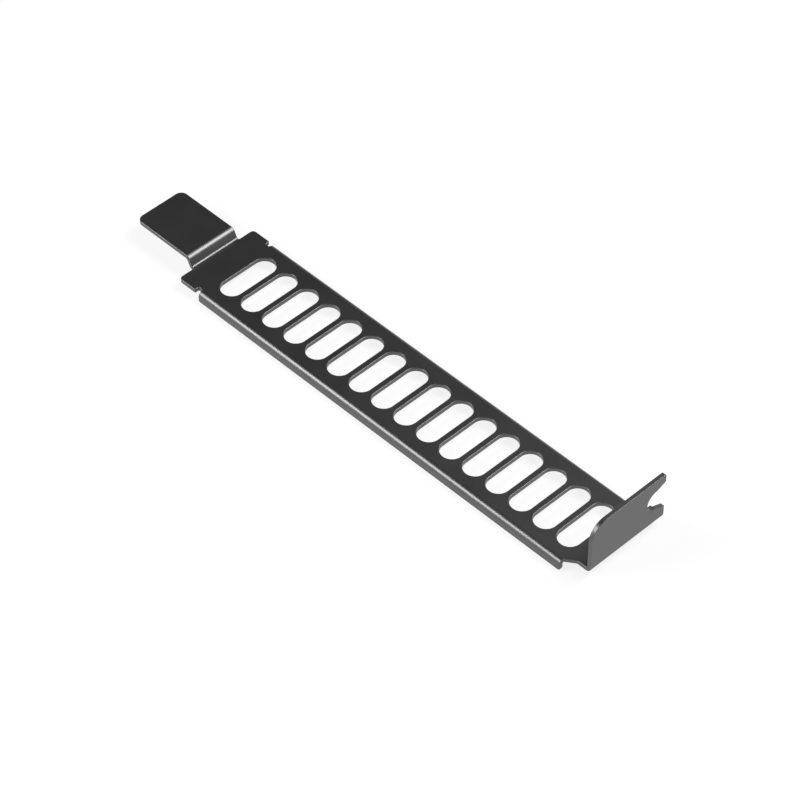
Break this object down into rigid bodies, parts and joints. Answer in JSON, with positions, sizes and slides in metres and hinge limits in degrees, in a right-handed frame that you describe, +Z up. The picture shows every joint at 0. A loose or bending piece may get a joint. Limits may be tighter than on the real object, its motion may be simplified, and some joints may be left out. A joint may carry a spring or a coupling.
{
  "type": "pci slot cover bracket",
  "caption": "Folded sheet-steel cover for an expansion slot of a computer case, with a row of vent slots, a screw flange and an offset tongue.",
  "frame": {"origin": "middle of the bracket's footprint, on the surface that its side flanges lie on", "axes": "+X along the bracket towards the mounting flange, +Y across to the open side of the screw notch, +Z up out of the outer face"},
  "size_m": [0.12, 0.021, 0.0127],
  "materials": {
    "black_coat": "satin black coat on steel"
  },
  "bodies": {
    "root": {"bracket": "black_coat"}
  },
  "joints": []
}
